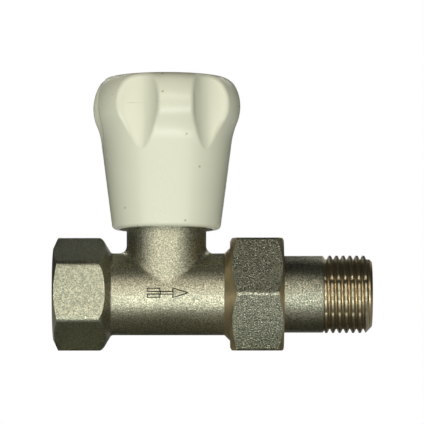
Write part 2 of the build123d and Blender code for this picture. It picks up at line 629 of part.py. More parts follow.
def wheel_section():
    """Half of the handwheel's outside: rim, conical skirt, rounded head and domed top."""
    taper = radians(SKIRT_TAPER)
    middle = HEAD_RADIUS - HEAD_ROUND
    along = -(RIM_RADIUS - middle) * sin(taper) + (HEAD_LEVEL - WHEEL_RIM) * cos(taper)
    apart = (RIM_RADIUS - middle) ** 2 + (HEAD_LEVEL - WHEEL_RIM) ** 2 - HEAD_ROUND ** 2
    run = along - sqrt(along ** 2 - apart)
    rim = (RIM_RADIUS, WHEEL_RIM)
    waist = (RIM_RADIUS + run * sin(taper), WHEEL_RIM + run * cos(taper))
    edge = (middle + sqrt(HEAD_ROUND ** 2 - (HEAD_DROP - CROWN) ** 2), WHEEL_TOP - CROWN)
    outline = [
        Line((0, WHEEL_RIM), rim),
        Line(rim, waist),
        ThreePointArc(waist, (HEAD_RADIUS, HEAD_LEVEL), edge),
        TangentArc((0, WHEEL_TOP), edge, tangent=(1, 0)),
        Line((0, WHEEL_TOP), (0, WHEEL_RIM)),
    ]
    section = make_face(outline)
    section = fillet(corner_near(section, rim), RIM_ROUND)
    section = fillet(corner_near(section, waist), WAIST_ROUND)
    return fillet(corner_near(section, edge), CROWN_EDGE_ROUND)


def dimples():
    """The barrel-shaped cutters of the finger dimples, spaced evenly round the head."""
    level = WHEEL_TOP - DIMPLE_DROP
    end = DIMPLE_ROUND / 2
    half = sqrt(DIMPLE_BARREL ** 2 - (DIMPLE_BARREL - DIMPLE_ROUND + end) ** 2)
    outline = [
        Line((0, level - half), (end, level - half)),
        ThreePointArc((end, level - half), (DIMPLE_ROUND, level), (end, level + half)),
        Line((end, level + half), (0, level + half)),
        Line((0, level + half), (0, level - half)),
    ]
    barrel = Pos(DIMPLE_FLOOR + DIMPLE_ROUND, 0, 0) * revolve(Plane.XZ * make_face(outline), Axis.Z)
    step = 360 / DIMPLE_COUNT
    first = DIMPLE_PHASE - 90
    middle = Pos(SPINDLE_X, 0, 0)
    return [middle * Rot(0, 0, first + step * count) * barrel for count in range(DIMPLE_COUNT)]


def wheel_cavity():
    """The hollow of the handwheel, parallel to the skirt and then straight up to the ceiling."""
    opening = RIM_RADIUS - SKIRT_WALL
    knee = WHEEL_RIM + (CAVITY_RADIUS - opening) / tan(radians(SKIRT_TAPER))
    section = make_face(
        Polyline(
            (0, WHEEL_RIM),
            (opening, WHEEL_RIM),
            (CAVITY_RADIUS, knee),
            (CAVITY_RADIUS, CEILING),
            (0, CEILING),
            close=True,
        )
    )
    return on_spindle(fillet(corner_near(section, (CAVITY_RADIUS, CEILING)), CAVITY_ROUND))


def wheel_ribs():
    """Ribs under the roof, from the hub to the wall, one behind each ridge of the head."""
    bottom = CEILING - RIB_HEIGHT
    length = CAVITY_RADIUS + SKIRT_WALL / 2
    rib = Pos(length / 2, 0, (bottom + CEILING) / 2) * Box(length, RIB_THICKNESS, RIB_HEIGHT)
    step = 360 / DIMPLE_COUNT
    first = DIMPLE_PHASE - 90 + step / 2
    middle = Pos(SPINDLE_X, 0, 0)
    return [middle * Rot(0, 0, first + step * count) * rib for count in range(DIMPLE_COUNT)]


def handwheel():
    """The moulded handwheel: dimpled bell with hub, ribs, square socket and recesses for screw and cap."""
    blank = on_spindle(wheel_section())
    cutters = dimples()
    wheel = blank - cutters
    wheel = fillet(new_edges(blank, *cutters, combined=wheel), DIMPLE_EDGE_ROUND)
    wheel -= wheel_cavity()
    wheel += wheel_ribs()
    wheel += spindle_rod(HUB_DIA, HUB_BOTTOM, CEILING)
    wheel -= spindle_square(SQUARE_AF + 2 * RUNNING_GAP, STEM_DIA + 2 * RUNNING_GAP, HUB_BOTTOM, WEB_BOTTOM)
    wheel -= spindle_rod(WHEEL_SCREW_DIA + 2 * WASHER_SIDE_GAP, WEB_BOTTOM, WEB_TOP)
    wheel -= spindle_rod(SCREW_POCKET_DIA, WEB_TOP, CAP_BOTTOM)
    return wheel - spindle_rod(CAP_DIA, CAP_BOTTOM, CAP_BOTTOM + 2 * CAP_THICKNESS)


def handwheel_cap():
    """The cap over the screw, domed like the rest of the top."""
    radius = CAP_DIA / 2 - CAP_GAP
    plug = turned_on_spindle(
        (0, CAP_BOTTOM),
        (radius - CAP_EDGE_CHAMFER, CAP_BOTTOM),
        (radius, CAP_BOTTOM + CAP_EDGE_CHAMFER),
        (radius, CAP_BOTTOM + 2 * CAP_THICKNESS),
        (0, CAP_BOTTOM + 2 * CAP_THICKNESS),
    )
    return plug & on_spindle(wheel_section())


def handwheel_screw():
    """The screw through the hub into the spindle."""
    head = spindle_rod(WHEEL_SCREW_HEAD_DIA, SCREW_HEAD_BOTTOM, SCREW_HEAD_TOP)
    shank = spindle_rod(WHEEL_SCREW_DIA, SCREW_HEAD_BOTTOM - WHEEL_SCREW_LENGTH, SCREW_HEAD_BOTTOM)
    slot_bottom = SCREW_HEAD_TOP - WHEEL_SCREW_SLOT_DEPTH
    slot = driver_slot(WHEEL_SCREW_SLOT_WIDTH, WHEEL_SCREW_HEAD_DIA, slot_bottom, SCREW_HEAD_TOP)
    return head + shank - slot


def handwheel_washer():
    """The washer between that screw's head and the web of the hub."""
    inner = WHEEL_SCREW_DIA + 2 * WASHER_SIDE_GAP
    return spindle_ring(inner, WHEEL_WASHER_DIA, WEB_TOP, SCREW_HEAD_BOTTOM)


PIECES = [
    valve_body,
    union_nut,
    tailpiece,
    tailpiece_o_ring,
    bonnet,
    bonnet_o_ring,
    gland_nut,
    gland_washer,
    gland_o_ring,
    spindle,
    spindle_o_ring,
    valve_disc,
    disc_clip,
    disc_seal,
    disc_washer,
    disc_screw,
    handwheel,
    handwheel_cap,
    handwheel_screw,
    handwheel_washer,
]

os.makedirs("parts", exist_ok=True)
for piece in PIECES:
    export_step(piece(), f"parts/{piece.__name__}.step")
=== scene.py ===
import bpy
import bmesh
import math
from mathutils import Matrix, Vector


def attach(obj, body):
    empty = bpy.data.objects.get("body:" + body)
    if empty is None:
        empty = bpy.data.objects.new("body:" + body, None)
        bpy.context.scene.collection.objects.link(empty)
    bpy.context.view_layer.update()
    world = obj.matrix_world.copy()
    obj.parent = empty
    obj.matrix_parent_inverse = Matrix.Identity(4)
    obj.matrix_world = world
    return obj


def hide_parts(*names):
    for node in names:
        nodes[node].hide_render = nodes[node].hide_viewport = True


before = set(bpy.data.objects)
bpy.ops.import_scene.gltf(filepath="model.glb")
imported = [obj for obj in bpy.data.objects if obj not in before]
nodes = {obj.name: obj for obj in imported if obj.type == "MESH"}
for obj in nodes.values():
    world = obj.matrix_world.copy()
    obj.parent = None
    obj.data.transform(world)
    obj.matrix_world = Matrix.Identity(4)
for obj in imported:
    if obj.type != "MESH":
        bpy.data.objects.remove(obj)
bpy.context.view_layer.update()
scene = bpy.context.scene
mm = 0.001  # sizes of pieces are in millimetres, Blender's and the stage's in metres
print("frame loaded,", len(nodes), "nodes")


# helpers for meshes

weldDistance = 0.001  # millimetres


def addPiece(name, bm, body, sharpAngle=32):
    bmesh.ops.transform(bm, matrix=Matrix.Scale(mm, 4), verts=bm.verts)
    mesh = bpy.data.meshes.new(name)
    bm.to_mesh(mesh)
    bm.free()
    mesh.shade_smooth()
    mesh.set_sharp_from_angle(angle=math.radians(sharpAngle))
    piece = bpy.data.objects.new(name, mesh)
    scene.collection.objects.link(piece)
    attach(piece, body)
    return piece


def closedOutline(bm, points):
    made = [bm.verts.new(point) for point in points]
    edges = [bm.edges.new(pair) for pair in zip(made, made[1:] + made[:1])]
    return made, edges


def turnOnPipe(bm, outline, steps):
    made, edges = closedOutline(bm, [(x, radius, 0) for x, radius in outline])
    bmesh.ops.spin(bm, geom=made + edges, cent=(0, 0, 0), axis=(1, 0, 0),
                   angle=math.tau, steps=steps, use_merge=True, use_duplicate=False)
    bmesh.ops.remove_doubles(bm, verts=bm.verts, dist=weldDistance)
    bmesh.ops.recalc_face_normals(bm, faces=bm.faces)


def ridgeProfile(shape, footRadius, outward):
    # a thread's section: one side from foot to crest, then its mirror image
    pitch = shape["pitch"]
    crest = shape["crestRadius"]
    flat = shape["crestFlat"] * pitch
    edgeWidth, edgeHeight = shape["crestEdge"]
    side = [
        (shape["foot"] * pitch, footRadius),
        (shape["toe"] * pitch, footRadius + outward * shape["toeHeight"]),
        (flat / 2 + edgeWidth, crest - outward * edgeHeight),
        (flat / 2, crest),
    ]
    return [(-x, radius) for x, radius in side] + side[::-1]


def threadRidge(profile, start, pitch, turns, stepsPerTurn):
    # a closed ridge: its section, wound along the pipe
    bm = bmesh.new()
    made, edges = closedOutline(bm, [(start + x, radius, 0) for x, radius in profile])
    wound = bmesh.ops.spin(bm, geom=made + edges, cent=(0, 0, 0), axis=(1, 0, 0),
                           dvec=(pitch / stepsPerTurn, 0, 0), angle=math.tau * turns,
                           steps=round(turns * stepsPerTurn),
                           use_merge=False, use_duplicate=False)
    last = [item for item in wound["geom_last"] if isinstance(item, bmesh.types.BMEdge)]
    bmesh.ops.contextual_create(bm, geom=edges)
    bmesh.ops.contextual_create(bm, geom=last)
    bmesh.ops.recalc_face_normals(bm, faces=bm.faces)
    return bm


def turnsAlong(vert, start, pitch):
    part = (math.atan2(vert.co.z, vert.co.y) / math.tau) % 1
    return part + round((vert.co.x - start) / pitch - part)


def setRadius(vert, radius):
    now = math.hypot(vert.co.y, vert.co.z)
    vert.co.y *= radius / now
    vert.co.z *= radius / now


def joinInto(bm, other):
    mesh = bpy.data.meshes.new("joined")
    other.to_mesh(mesh)
    other.free()
    bm.from_mesh(mesh)
    bpy.data.meshes.remove(mesh)


# tail with its thread, in place of the plain tail

tailShape = {
    "noseStart": 52.194, "noseRadius": 8.998, "noseEdge": 0.3,
    "grooveStart": 53.394, "grooveEnd": 54.894, "grooveRadius": 7.5475,
    "flangeFront": 56.994, "flangeBack": 59.494, "flangeRadius": 11.9775,
    "plainRadius": 10.3975, "boreRadius": 6.7475, "boreEdge": 0.25,
    "shoulderBefore": 0.15, "shoulderAfter": 0.05, "shoulderDrop": 0.1, "runOut": 0.5,
    "threadStart": 72.994, "threadEnd": 86.194, "endRadius": 8.7775, "chamfer": 1.7,
    "helixStart": 72.54, "helixStop": 0.5, "fadeIn": 0.7,
    "crestRadius": 10.4775, "rootRadius": 9.45, "ridgeSink": 0.12, "pitch": 1.814,
    "foot": 0.47, "toe": 0.42, "toeHeight": 0.16, "crestFlat": 0.26, "crestEdge": (0.1, 0.1),
    "notches": 14, "notchDepth": 0.4, "notchReach": 0.3, "notchWidth": 4.5, "notchPhase": 186.0,
    "lugStart": 75.194, "lugEnd": 83.194, "lugInner": 5.5475, "lugSink": 0.3,
    "lugWidth": 2.5, "lugEdge": 0.25,
    "steps": 140,
}


def tailCore(shape):
    nose, edge = shape["noseRadius"], shape["noseEdge"]
    groove = shape["grooveRadius"]
    flange = shape["flangeRadius"]
    plain = shape["plainRadius"]
    root = shape["rootRadius"]
    bore = shape["boreRadius"]
    thread, end = shape["threadStart"], shape["threadEnd"]
    bm = bmesh.new()
    turnOnPipe(bm, [
        (shape["noseStart"], bore),
        (shape["noseStart"], nose - edge),
        (shape["noseStart"] + edge, nose),
        (shape["grooveStart"], nose),
        (shape["grooveStart"], groove),
        (shape["grooveEnd"], groove),
        (shape["grooveEnd"], nose),
        (shape["flangeFront"], nose),
        (shape["flangeFront"], flange - edge),
        (shape["flangeFront"] + edge, flange),
        (shape["flangeBack"], flange),
        (shape["flangeBack"], plain),
        (thread - shape["shoulderBefore"], plain),
        (thread + shape["shoulderAfter"], plain - shape["shoulderDrop"]),
        (thread + shape["runOut"], root),
        (end - (root - shape["endRadius"]), root),
        (end, shape["endRadius"]),
        (end, bore + shape["boreEdge"]),
        (end - shape["boreEdge"], bore),
    ], shape["steps"])
    return bm


def tailLugs(shape):
    bm = bmesh.new()
    start, end = shape["lugStart"], shape["lugEnd"]
    inner, outer = shape["lugInner"], shape["boreRadius"] + shape["lugSink"]
    size = Matrix.Diagonal((end - start, outer - inner, shape["lugWidth"], 1))
    for side in (-1, 1):
        middle = Matrix.Translation(((start + end) / 2, side * (outer + inner) / 2, 0))
        bmesh.ops.create_cube(bm, size=1, matrix=middle @ size)
    bmesh.ops.bevel(bm, geom=bm.edges, offset=shape["lugEdge"], offset_type="OFFSET",
                    affect="EDGES", segments=2, profile=0.5, material=-1)
    return bm


def tailThread(shape):
    pitch = shape["pitch"]
    crest = shape["crestRadius"]
    base = shape["rootRadius"] - shape["ridgeSink"]
    start, end = shape["helixStart"], shape["threadEnd"]
    turns = (end - shape["helixStop"] * pitch - start) / pitch
    slope = (crest - shape["endRadius"]) / shape["chamfer"]
    step = 360 / shape["notches"]
    bm = threadRidge(ridgeProfile(shape, base, 1), start, pitch, turns, shape["steps"])
    for vert in bm.verts:
        radius = math.hypot(vert.co.y, vert.co.z)
        if radius > crest - shape["notchReach"]:  # nicks that hold the hemp
            around = math.degrees(math.atan2(vert.co.z, vert.co.y)) - shape["notchPhase"]
            away = abs((around + step / 2) % step - step / 2)
            radius -= shape["notchDepth"] * max(0, 1 - away / shape["notchWidth"])
        fade = min(1, max(0, turnsAlong(vert, start, pitch) / shape["fadeIn"]))
        radius = base + (radius - base) * fade
        limit = shape["endRadius"] + (end - vert.co.x) * slope
        setRadius(vert, min(radius, limit))
    return bm


def makeTail(shape):
    bm = tailCore(shape)
    joinInto(bm, tailLugs(shape))
    joinInto(bm, tailThread(shape))
    piece = addPiece("threadedTail", bm, "tailpiece")
    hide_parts("tailpiece")
    return piece


# thread in the pipe socket

socketShape = {
    "start": 1.1, "end": 11.9, "lead": 1.6, "fade": 0.3,
    "wall": 10.62, "crestRadius": 9.5, "pitch": 1.814,
    "foot": 0.47, "toe": 0.40, "toeHeight": 0.22, "crestFlat": 0.17, "crestEdge": (0.07, 0.09),
    "steps": 112,
}


def makeSocketThread(shape):
    pitch = shape["pitch"]
    wall = shape["wall"]
    start = shape["start"]
    turns = (shape["end"] - start) / pitch
    bm = threadRidge(ridgeProfile(shape, wall, -1), start, pitch, turns, shape["steps"])
    for vert in bm.verts:
        radius = math.hypot(vert.co.y, vert.co.z)
        along = turnsAlong(vert, start, pitch)
        fade = min(1, max(0, min(along, turns - along) / shape["fade"]))
        radius = wall - (wall - radius) * fade
        mouth = wall - (wall - shape["crestRadius"]) * max(0, vert.co.x) / shape["lead"]
        setRadius(vert, max(radius, mouth))
    return addPiece("socketThread", bm, "valve_body")


# raised arrow that shows the way of the flow

arrowShape = {
    "tubeRadius": 11.1, "height": 0.40, "sink": 0.2, "slope": 0.32, "level": -0.18,
    "featherStart": 25.5, "featherEnd": 29.1, "featherWidth": 1.14, "featherGap": 0.36,
    "shaftEnd": 32.6, "shaftWidth": 0.95, "shaftOverlap": 0.1,
    "headStart": 32.3, "headEnd": 36.6, "headWidth": 2.9, "tipWidth": 0.24,
    "longEdge": 0.5, "sharpAngle": 50,
}


def arrowOutlines(shape):
    inner = shape["featherGap"] / 2
    outer = inner + shape["featherWidth"]
    start, end = shape["featherStart"], shape["featherEnd"]
    shaft = shape["shaftWidth"] / 2
    shaftStart, shaftEnd = end - shape["shaftOverlap"], shape["shaftEnd"]
    head, tip = shape["headWidth"] / 2, shape["tipWidth"] / 2
    headStart, headEnd = shape["headStart"], shape["headEnd"]
    return [
        [(start, inner), (end, inner), (end, outer), (start, outer)],
        [(start, -outer), (end, -outer), (end, -inner), (start, -inner)],
        [(shaftStart, -shaft), (shaftEnd, -shaft), (shaftEnd, shaft), (shaftStart, shaft)],
        [(headStart, -head), (headEnd, -tip), (headEnd, tip), (headStart, head)],
    ]


def raisedPart(shape, outline):
    bm = bmesh.new()
    face = bm.faces.new([bm.verts.new((x, across, -shape["sink"])) for x, across in outline])
    lifted = bmesh.ops.extrude_face_region(bm, geom=[face])
    top = [item for item in lifted["geom"] if isinstance(item, bmesh.types.BMVert)]
    bmesh.ops.translate(bm, verts=top, vec=(0, 0, shape["sink"] + shape["height"]))
    bmesh.ops.recalc_face_normals(bm, faces=bm.faces)
    rim = [edge for edge in bm.edges if all(vert in top for vert in edge.verts)]
    bmesh.ops.bevel(bm, geom=rim, offset=shape["slope"], offset_type="OFFSET",
                    affect="EDGES", segments=2, profile=0.5, material=-1)
    longEdges = [edge for edge in bm.edges
                 if abs(edge.verts[0].co.x - edge.verts[1].co.x) > shape["longEdge"]]
    bmesh.ops.subdivide_edges(bm, edges=longEdges, cuts=2, use_grid_fill=True)
    return bm


def makeArrow(shape):
    bm = bmesh.new()
    for outline in arrowOutlines(shape):
        joinInto(bm, raisedPart(shape, outline))
    for vert in bm.verts:  # wrap the flat arrow round the tube
        radius = shape["tubeRadius"] + vert.co.z
        angle = (vert.co.y + shape["level"]) / shape["tubeRadius"]
        vert.co = Vector((vert.co.x, -radius * math.cos(angle), radius * math.sin(angle)))
    bmesh.ops.recalc_face_normals(bm, faces=bm.faces)
    return addPiece("flowArrow", bm, "valve_body", shape["sharpAngle"])


threadedTail = makeTail(tailShape)
socketThread = makeSocketThread(socketShape)
flowArrow = makeArrow(arrowShape)
print("new pieces made")


# helpers for shader nodes

def feed(tree, node, inputs):
    for key, value in inputs.items():
        if isinstance(value, bpy.types.NodeSocket):
            tree.links.new(value, node.inputs[key])
        else:
            node.inputs[key].default_value = value


def addNode(tree, kind, inputs=None, **settings):
    node = tree.nodes.new(kind)
    for key, value in settings.items():
        setattr(node, key, value)
    feed(tree, node, inputs or {})
    return node


def calc(tree, operation, *values):
    inputs = dict(enumerate(values))
    return addNode(tree, "ShaderNodeMath", inputs, operation=operation).outputs[0]


def largest(tree, first, *others):
    for other in others:
        first = calc(tree, "MAXIMUM", first, other)
    return first


def ramp(tree, value, span, outLow=0.0, outHigh=1.0):
    inputs = {"Value": value, "From Min": span[0], "From Max": span[1],
              "To Min": outLow, "To Max": outHigh}
    return addNode(tree, "ShaderNodeMapRange", inputs, clamp=True).outputs["Result"]


def fall(tree, value, span):
    return ramp(tree, value, span, 1.0, 0.0)


def shifted(span, by):
    return span[0] + by, span[1] + by


# a mix node has a pair of sockets for each kind: 2 and 3 take values, 6 and 7 colours

def mixColour(tree, factor, first, second):
    inputs = {0: factor, 6: first, 7: second}
    return addNode(tree, "ShaderNodeMix", inputs, data_type="RGBA").outputs[2]


def mixValue(tree, factor, first, second):
    inputs = {0: factor, 2: first, 3: second}
    return addNode(tree, "ShaderNodeMix", inputs, data_type="FLOAT").outputs[0]


def noise(tree, place, scale, detail, roughness=0.5):
    inputs = {"Vector": place, "Scale": scale, "Detail": detail, "Roughness": roughness}
    return addNode(tree, "ShaderNodeTexNoise", inputs).outputs["Fac"]


def newGroup(name, inputs, outputs):
    tree = bpy.data.node_groups.new(name, "ShaderNodeTree")
    for title, value in inputs.items():
        kind = "NodeSocketVector" if value is None else "NodeSocketFloat"
        socket = tree.interface.new_socket(title, in_out="INPUT", socket_type=kind)
        if value is not None:
            socket.default_value = value
    for title in outputs:
        tree.interface.new_socket(title, in_out="OUTPUT", socket_type="NodeSocketFloat")
    return tree, tree.nodes.new("NodeGroupInput").outputs, tree.nodes.new("NodeGroupOutput")


def useGroup(tree, group, inputs):
    return addNode(tree, "ShaderNodeGroup", inputs, node_tree=group).outputs


def objectPlace(tree):
    return addNode(tree, "ShaderNodeTexCoord").outputs["Object"]


def newMaterial(name):
    material = bpy.data.materials.new(name)
    material.use_nodes = True
    return material, material.node_tree, material.node_tree.nodes["Principled BSDF"]


def addBump(tree, height):
    bump = addNode(tree, "ShaderNodeBump", {"Distance": mm, "Height": height})
    return bump.outputs["Normal"]


# shared effects

effects = {
    "pitScale": 1.25, "pitDepth": 0.55, "shadeSpan": (0.40, 0.64),
    "waveSpan": (0.06, 0.42), "blotchSpan": (0.30, 0.75),
}


def makePipePlace():
    # place along the pipe and distance from its axis, in millimetres, and turns round it
    tree, given, out = newGroup("pipePlace", {"Vector": None}, ["Along", "Radius", "Around"])
    parts = addNode(tree, "ShaderNodeSeparateXYZ", {0: given["Vector"]}).outputs
    squares = calc(tree, "ADD", calc(tree, "MULTIPLY", parts["Y"], parts["Y"]),
                   calc(tree, "MULTIPLY", parts["Z"], parts["Z"]))
    angle = calc(tree, "ARCTAN2", parts["Z"], parts["Y"])
    feed(tree, out, {
        "Along": calc(tree, "MULTIPLY", parts["X"], 1 / mm),
        "Radius": calc(tree, "MULTIPLY", calc(tree, "SQRT", squares), 1 / mm),
        "Around": calc(tree, "DIVIDE", angle, math.tau),
    })
    return tree


def makeBlastedGrain():
    # the matt grain of shot-blasted forgings under plating
    tree, given, out = newGroup("blastedGrain", {"Vector": None, "Scale": 1800.0},
                                ["Height", "Shade"])
    place, scale = given["Vector"], given["Scale"]
    coarse = noise(tree, place, scale, detail=2.0, roughness=0.62)
    shade = noise(tree, place, scale, detail=3.0, roughness=0.7)
    pits = addNode(tree, "ShaderNodeTexVoronoi", {
        "Vector": place, "Scale": calc(tree, "MULTIPLY", scale, effects["pitScale"])}).outputs
    depth = calc(tree, "MULTIPLY", pits["Distance"], effects["pitDepth"])
    feed(tree, out, {
        "Height": calc(tree, "ADD", coarse, depth),
        "Shade": ramp(tree, shade, effects["shadeSpan"]),
    })
    return tree


def makeTurnedMarks():
    # fine rings that a lathe leaves, on faces and on cylinders
    tree, given, out = newGroup("turnedMarks", {"Along": 0.0, "Radius": 0.0, "Scale": 5.0},
                                ["Height"])
    place = addNode(tree, "ShaderNodeCombineXYZ", {0: given["Along"], 1: given["Radius"]})
    feed(tree, out, {"Height": noise(tree, place.outputs[0], given["Scale"], detail=2.0)})
    return tree


def makeThreadWave():
    # height of a thread, from 0 at its root to 1 at its crest
    tree, given, out = newGroup("threadWave", {"Along": 0.0, "Around": 0.0, "Pitch": 1.814},
                                ["Height"])
    turns = calc(tree, "SUBTRACT", calc(tree, "DIVIDE", given["Along"], given["Pitch"]),
                 given["Around"])
    part = calc(tree, "ABSOLUTE", calc(tree, "SUBTRACT", calc(tree, "FRACT", turns), 0.5))
    feed(tree, out, {"Height": fall(tree, part, effects["waveSpan"])})
    return tree


def makeHandling():
    # broad soft blotches where a piece was handled
    tree, given, out = newGroup("handling", {"Vector": None, "Scale": 120.0}, ["Mask"])
    blotch = noise(tree, given["Vector"], given["Scale"], detail=4.0, roughness=0.55)
    feed(tree, out, {"Mask": ramp(tree, blotch, effects["blotchSpan"])})
    return tree


pipePlace = makePipePlace()
blastedGrain = makeBlastedGrain()
turnedMarks = makeTurnedMarks()
threadWave = makeThreadWave()
handling = makeHandling()


# plated brass: grainy where it was forged, turned and warmer where it was cut

platedLook = {
    "light": (0.70, 0.62, 0.465, 1), "dark": (0.20, 0.22, 0.165, 1),
    "cut": (0.66, 0.57, 0.40, 1), "brass": (0.64, 0.45, 0.22, 1),
    "grainScale": 2700.0, "grainDepth": 0.088, "markScale": 6.0, "markDepth": 0.03,
    "grainRough": (0.31, 0.40), "cutRough": 0.36,
    "blotchScale": 130.0, "blotchShare": 0.25,
    # painted shade: the body's inlet end is coloured darker, fading out between 13 and 16 mm
    # along
    "endPaintedShadeSpan": (13.0, 16.0), "endPaintedShade": 0.31,  # the inlet end is a shade darker
}


def makePlated(name, look, findZones, threadHeight=None):
    material, tree, shader = newMaterial(name)
    place = objectPlace(tree)
    pipe = useGroup(tree, pipePlace, {"Vector": place})
    along, radius = pipe["Along"], pipe["Radius"]
    grain = useGroup(tree, blastedGrain, {"Vector": place, "Scale": look["grainScale"]})
    marks = useGroup(tree, turnedMarks,
                     {"Along": along, "Radius": radius, "Scale": look["markScale"]})
    blotch = useGroup(tree, handling, {"Vector": place, "Scale": look["blotchScale"]})["Mask"]
    # painted shade on the inlet end, added to the handling blotches
    inletPaintedShade = ramp(tree, along, look["endPaintedShadeSpan"], look["endPaintedShade"], 0.0)
    handlingAndPaintedShade = calc(tree, "MULTIPLY_ADD", blotch, look["blotchShare"], inletPaintedShade)
    cut, brass = findZones(tree, along, radius)
    colour = mixColour(tree, grain["Shade"], look["dark"], look["light"])
    colour = mixColour(tree, handlingAndPaintedShade, colour, look["dark"])
    # where cut, the cut colour; on the arrow's steep sides this is painted shade
    colour = mixColour(tree, cut, colour, look["cut"])
    colour = mixColour(tree, brass, colour, look["brass"])
    brightRough, darkRough = look["grainRough"]
    rough = ramp(tree, grain["Shade"], (0.0, 1.0), darkRough, brightRough)
    height = mixValue(tree, cut, calc(tree, "MULTIPLY", grain["Height"], look["grainDepth"]),
                      calc(tree, "MULTIPLY", marks["Height"], look["markDepth"]))
    if threadHeight:
        height = calc(tree, "ADD", height, threadHeight(tree, along, radius, pipe["Around"]))
    feed(tree, shader, {
        "Base Color": colour, "Metallic": 1.0,
        "Roughness": mixValue(tree, cut, rough, look["cutRough"]),
        "Normal": addBump(tree, height),
    })
    return material


# the body: face, bores and union thread are cut, the rest is as forged
bodyZones = {
    "face": (0.06, 0.36), "socketWall": (-0.2, 0.02), "socketEnd": (12.4, 12.8),
    "union": (46.2, 46.5), "brassShare": 0.3,
    "threadStart": (48.6, 49.2), "threadRadius": (12.3, 12.9),
    "threadPitch": 1.814, "threadDepth": 0.7,
}


def findBodyZones(tree, along, radius):
    face = fall(tree, along, bodyZones["face"])
    bore = fall(tree, radius, shifted(bodyZones["socketWall"], socketShape["wall"]))
    socket = calc(tree, "MULTIPLY", bore, fall(tree, along, bodyZones["socketEnd"]))
    cut = largest(tree, face, socket, ramp(tree, along, bodyZones["union"]))
    return cut, calc(tree, "MULTIPLY", cut, bodyZones["brassShare"])


def bodyThread(tree, along, radius, around):
    wave = useGroup(tree, threadWave, {
        "Along": along, "Around": around, "Pitch": bodyZones["threadPitch"]})
    zone = calc(tree, "MULTIPLY", ramp(tree, along, bodyZones["threadStart"]),
                ramp(tree, radius, bodyZones["threadRadius"]))
    height = calc(tree, "MULTIPLY", wave["Height"], bodyZones["threadDepth"])
    return calc(tree, "MULTIPLY", height, zone)


# the nut: its two chamfers and its bore are turned, its grain is deeper
nutLook = dict(platedLook, light=(0.72, 0.67, 0.515, 1), dark=(0.10, 0.125, 0.095, 1),
               grainDepth=0.15)
nutZones = {
    "back": 47.844, "front": 62.344, "backRadius": 14.3975, "frontRadius": 14.7975,
    "slope": 0.5774, "chamferSpan": (0.03, 0.12), "bore": (13.4, 13.5), "brassShare": 0.25,
}


def findNutZones(tree, along, radius):
    slope = nutZones["slope"]
    backLine = calc(tree, "MULTIPLY_ADD", radius, slope,
                    nutZones["back"] - nutZones["backRadius"] * slope)
    frontLine = calc(tree, "MULTIPLY_ADD", radius, -slope,
                     nutZones["front"] + nutZones["frontRadius"] * slope)
    back = fall(tree, calc(tree, "SUBTRACT", along, backLine), nutZones["chamferSpan"])
    front = fall(tree, calc(tree, "SUBTRACT", frontLine, along), nutZones["chamferSpan"])
    cut = largest(tree, fall(tree, radius, nutZones["bore"]), back, front)
    return cut, calc(tree, "MULTIPLY", cut, nutZones["brassShare"])


# the tail: forged grain on its plain length, brass showing in the thread's roots
tailLook = dict(platedLook, light=(0.59, 0.53, 0.405, 1), dark=(0.14, 0.165, 0.125, 1),
                cut=(0.36, 0.325, 0.235, 1), brass=(0.48, 0.345, 0.17, 1))
tailZones = {
    "nose": (61.0, 61.6), "bore": (7.2, 8.0), "threadLead": (-0.4, 0.0),
    "brassLead": (-0.2, 0.2), "brassInset": 0.25, "brassShare": 0.45,
}


def findTailZones(tree, along, radius):
    start, inset = tailShape["threadStart"], tailZones["brassInset"]
    thread = ramp(tree, along, shifted(tailZones["threadLead"], start))
    cut = largest(tree, fall(tree, radius, tailZones["bore"]), thread,
                  fall(tree, along, tailZones["nose"]))
    flank = (tailShape["rootRadius"] + inset, tailShape["crestRadius"] - inset)
    root = ramp(tree, radius, flank, tailZones["brassShare"], 0.0)
    length = ramp(tree, along, shifted(tailZones["brassLead"], start))
    return cut, calc(tree, "MULTIPLY", root, length)


# the arrow: painted shade darkens its steep sides, and no brass shows
arrowLook = dict(platedLook, cut=(0.10, 0.115, 0.085, 1))
arrowZones = {"sideTop": (0.31, 0.39)}


def findArrowZones(tree, along, radius):
    # painted shade: the arrow's steep sides, below the top of its bevel, take the dark colour
    return fall(tree, radius, shifted(arrowZones["sideTop"], arrowShape["tubeRadius"])), 0.0


platedForging = makePlated("platedForging", platedLook, findBodyZones, bodyThread)
platedArrow = makePlated("platedArrow", arrowLook, findArrowZones)
platedNut = makePlated("platedNut", nutLook, findNutZones)
platedTail = makePlated("platedTail", tailLook, findTailZones)


# cream plastic of the handwheel and its cap

creamLook = {
    "light": (0.82, 0.815, 0.665, 1), "dark": (0.79, 0.785, 0.64, 1),
    "rough": (0.24, 0.29), "gloss": 0.38, "blotchScale": 60.0,
    "fineScale": 900.0, "fineDepth": 0.006,
    "speck": (0.46, 0.34, 0.16, 1), "speckScale": 300.0, "speckSize": 0.09,
    "speckShare": 0.72, "speckSpan": (0.0, 0.05), "speckStrength": 0.7,
    "partingLevel": 50.6, "partingSpan": (0.04, 0.16), "partingDepth": 0.02,
    "partingStrength": 0.35, "breakScale": 190.0, "breakSpan": (0.52, 0.62),
}


def creamSpecks(tree, place, look):
    # a few of the cells hold a dot, each of its own size
    cells = addNode(tree, "ShaderNodeTexVoronoi", {
        "Vector": place, "Scale": look["speckScale"]}).outputs
    chosen = addNode(tree, "ShaderNodeSeparateColor", {0: cells["Color"]}).outputs
    few = calc(tree, "GREATER_THAN", chosen[0], look["speckShare"])
    size = calc(tree, "MULTIPLY", chosen[1], look["speckSize"])
    dots = fall(tree, calc(tree, "SUBTRACT", cells["Distance"], size), look["speckSpan"])
    return calc(tree, "MULTIPLY", calc(tree, "MULTIPLY", dots, few), look["speckStrength"])


